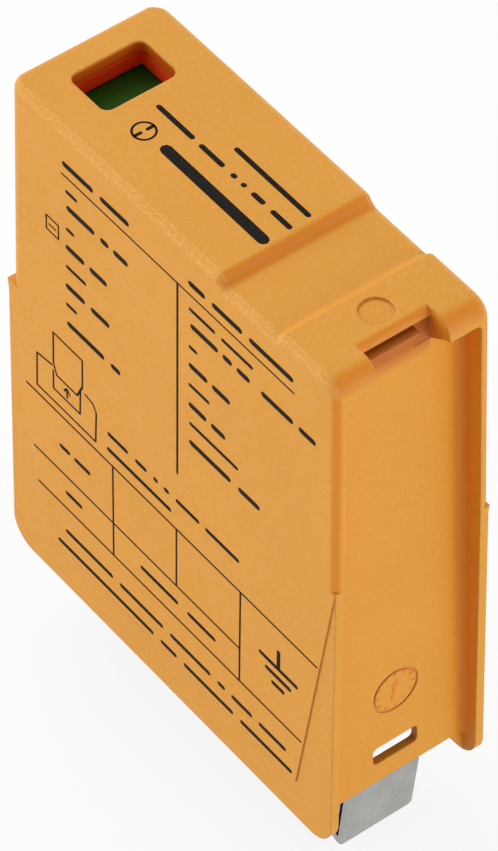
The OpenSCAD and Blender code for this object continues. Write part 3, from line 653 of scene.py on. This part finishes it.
# %% Mould the date mark
DATE_X, DATE_Z, DATE_LEAN, DATE_RADIUS = 21.313, 21.0, 0.0295, 2.45
DATE_FILMS = 4.0
MONTHS, TICK_INNER, TICK_OUTER, TICK_WIDTH = 12, DATE_RADIUS - 0.62, DATE_RADIUS - 0.28, 0.16
ARROW_TAIL, ARROW_TIP, ARROW_WIDTH, ARROW_HEAD = (-0.35, -1.15), (0.17, 1.3), 0.34, 0.75
HEAD_HALF = 0.65

# The deeper colour of the date mark is painted shade for its low relief.
date_mark_shaded_plastic = moulded_plastic(
    "date_mark_shaded_plastic", deep=(0.70, 0.205, 0.006), light=(0.73, 0.215, 0.008),
    edge=(0.80, 0.34, 0.07), recess_shade=(0.70, 0.18, 0.004), sheen=0.33, edge_radius=0.02)


def on_end_wall(u, v, h):
    # u runs across the end, v up from the middle of the mark, h out of the wall, farther than for ink.
    return Vector((DATE_X - DATE_LEAN * v + DATE_FILMS * h, u, DATE_Z + v)) * MM


def arrow(tail, tip, width, head):
    a, b = Vector(tail), Vector(tip)
    along = (b - a).normalized()
    side = Vector((-along.y, along.x))
    neck = b - along * head
    right = [(a, -width / 2), (neck, -width / 2), (neck, -head * HEAD_HALF)]
    left = [(place, -offset) for place, offset in reversed(right)]
    return [tuple(place + side * offset) for place, offset in right + [(b, 0.0)] + left]


date_marks = [arrow(ARROW_TAIL, ARROW_TIP, ARROW_WIDTH, ARROW_HEAD)]
for month in range(MONTHS):
    angle = math.radians(360.0 / MONTHS * month)
    way = Vector((math.sin(angle), math.cos(angle)))
    date_marks.append(stroke(way * TICK_INNER, way * TICK_OUTER, TICK_WIDTH))
lay_plates("date_mark", date_marks, on_end_wall, date_mark_shaded_plastic)

# %% [markdown]
# ## Who sees the white ground
# The photo is a studio shot on white. More light on a floor would make it white, but it would also
# bleach the module. The Light Path node tells rays apart instead: the camera, and what a metal or a
# glass mirrors to it, sees plain white, while all other rays meet the real floor and the real sky.

# %% Tell rays apart
def seen_as_ground(tree):
    ray = tree.nodes.new("ShaderNodeLightPath")
    share = ray.outputs["Is Camera Ray"]
    for kind in ("Is Glossy Ray", "Is Transmission Ray"):
        share = combine(tree, "MAXIMUM", share, ray.outputs[kind])
    return share


def show_mix(tree, share, first, second, output):
    mix = tree.nodes.new("ShaderNodeMixShader")
    tree.links.new(share, mix.inputs["Fac"])
    tree.links.new(first, mix.inputs[1])
    tree.links.new(second, mix.inputs[2])
    tree.links.new(mix.outputs["Shader"], tree.nodes[output].inputs["Surface"])


# %% [markdown]
# ## The floor
# The pale floor throws light back at the upright faces, so that they are about as bright as the
# top. A wide square lies just under the blades. The white that the camera sees is mixed with a
# little of the floor's own shading, which keeps the shadow that the module stands on.

# %% Build the floor
FLOOR_HALF, FLOOR_GAP, FLOOR_WHITE = 3.0, 0.0002, 0.85
FLOOR_DULL, FLOOR_PALE, FLOOR_CLOUDS = (0.86, 0.86, 0.86), (0.90, 0.90, 0.90), 12.0
FLOOR_ROUGHNESS, FLOOR_SHEEN = 0.9, 0.1
WHITE = (1.0, 1.0, 1.0, 1.0)

floor_mesh = bpy.data.meshes.new("floor")
corners = [(x * FLOOR_HALF, y * FLOOR_HALF, 0.0) for x, y in ((-1, -1), (1, -1), (1, 1), (-1, 1))]
floor_mesh.from_pydata(corners, [], [(0, 1, 2, 3)])
floor = bpy.data.objects.new("floor", floor_mesh)
floor.location.z = cad_low.z - FLOOR_GAP
bpy.context.scene.collection.objects.link(floor)

pale_floor, tree, shader = new_surface("pale_floor")
shader.inputs["Roughness"].default_value = FLOOR_ROUGHNESS
shader.inputs["Specular IOR Level"].default_value = FLOOR_SHEEN
paint = blend_colours(tree, grain(tree, FLOOR_CLOUDS), FLOOR_DULL, FLOOR_PALE)
tree.links.new(paint, shader.inputs["Base Color"])
white = add_node(tree, "ShaderNodeEmission", Color=WHITE, Strength=1.0)
share = spread(tree, seen_as_ground(tree), 0.0, 1.0, 0.0, FLOOR_WHITE)
show_mix(tree, share, shader.outputs["BSDF"], white.outputs["Emission"], "Material Output")
floor_mesh.materials.append(pale_floor)
print("the floor is", 2 * FLOOR_HALF, "m wide")

# %% [markdown]
# ## The light all round
# Light falls softly from all round except from the side where the camera stands, so the roundings
# that face that way look darker than the three large faces. Black panels could hold off the light
# there. A sky that falls off toward one fixed direction does the same without anything to mirror.

# %% Light the studio
SKY, SKY_DARK = 1.0, 0.22
DARK_SIDE = (0.534, -0.411, 0.739)
DARK_STARTS, DARK_FULL = 0.25, 0.90

studio = bpy.data.worlds.new("studio")
bpy.context.scene.world = studio
studio.use_nodes = True
tree = studio.node_tree
sky = tree.nodes["Background"]
sky.inputs["Color"].default_value = WHITE
direction = tree.nodes.new("ShaderNodeTexCoord")
toward = tree.nodes.new("ShaderNodeVectorMath")
toward.operation = "DOT_PRODUCT"
toward.inputs[1].default_value = DARK_SIDE
tree.links.new(direction.outputs["Generated"], toward.inputs[0])
strength = spread(tree, toward.outputs["Value"], DARK_STARTS, DARK_FULL, SKY, SKY_DARK)
tree.links.new(strength, sky.inputs["Strength"])
plain = add_node(tree, "ShaderNodeBackground", Color=WHITE, Strength=1.0)
show_mix(tree, seen_as_ground(tree), sky.outputs["Background"], plain.outputs["Background"], "World Output")
print("the sky's strength falls from", SKY, "to", SKY_DARK)

# %% [markdown]
# ## Three soft boxes
# The sky alone would leave the module flat, so three large square lamps give it shape. One stands
# high beyond the window end and lights the top, one looks at the near face, and one looks at the
# latch end from low down, where it leaves the step in the top in softer light.

# %% Set the soft boxes
LOOK_AT = Vector((0.0, 0.0, 0.03))


def softbox(name, place, size, power):
    light = bpy.data.lights.new(name, "AREA")
    light.shape = "SQUARE"
    light.size = size
    light.energy = power
    lamp = bpy.data.objects.new(name, light)
    lamp.location = place
    lamp.rotation_mode = "QUATERNION"
    lamp.rotation_quaternion = (LOOK_AT - Vector(place)).to_track_quat("-Z", "Y")
    bpy.context.scene.collection.objects.link(lamp)
    print(name, "gives", power, "W")


softbox("window_end_softbox", (-0.60, 0.05, 0.75), size=0.6, power=3.1)
softbox("near_side_softbox", (-0.35, -0.80, 0.25), size=0.6, power=3.2)
softbox("latch_end_softbox", (0.80, 0.22, 0.10), size=0.5, power=4.2)

# %% [markdown]
# ## Finish
# At the end the view transform is set to Standard.

# %% Finish
bpy.context.scene.view_settings.view_transform = "Standard"
